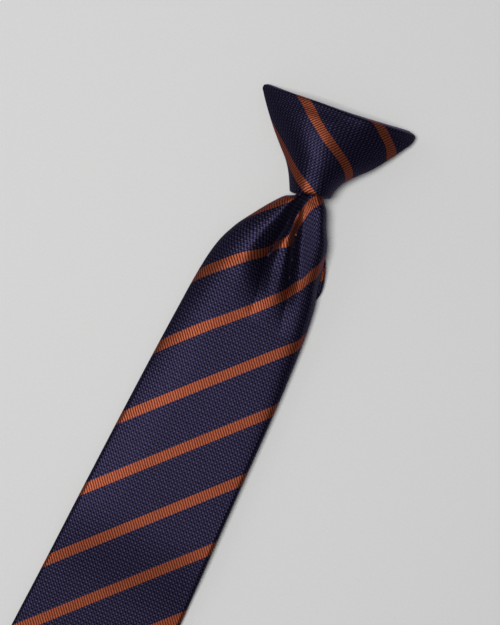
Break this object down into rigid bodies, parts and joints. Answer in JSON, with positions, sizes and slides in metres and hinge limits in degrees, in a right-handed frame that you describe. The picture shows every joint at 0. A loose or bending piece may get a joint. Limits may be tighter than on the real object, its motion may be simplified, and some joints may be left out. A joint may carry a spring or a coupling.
{
  "type": "pre-tied clip-on necktie",
  "caption": "Pre-tied clip-on necktie: hollow wrapped knot with flared wings, gathered and dimpled front blade with a pointed end, narrow tail behind it and a collar clip.",
  "frame": {"origin": "centre of the clip's back face, on the surface that the tie lies on, under the middle of the knot", "axes": "+Y along the front blade from its point to the knot, +X to the right of someone who looks at the front, +Z out of the front"},
  "size_m": [0.083, 0.5066, 0.0229],
  "materials": {
    "striped_cloth": "navy basket weave with a slight sheen and narrow burnt orange ribbed stripes on the bias",
    "clip_steel": "plain, lightly brushed"
  },
  "bodies": {
    "root": {"knot_wrap": "striped_cloth", "front_blade": "striped_cloth", "tail_blade": "striped_cloth", "clip": "clip_steel"}
  },
  "joints": []
}
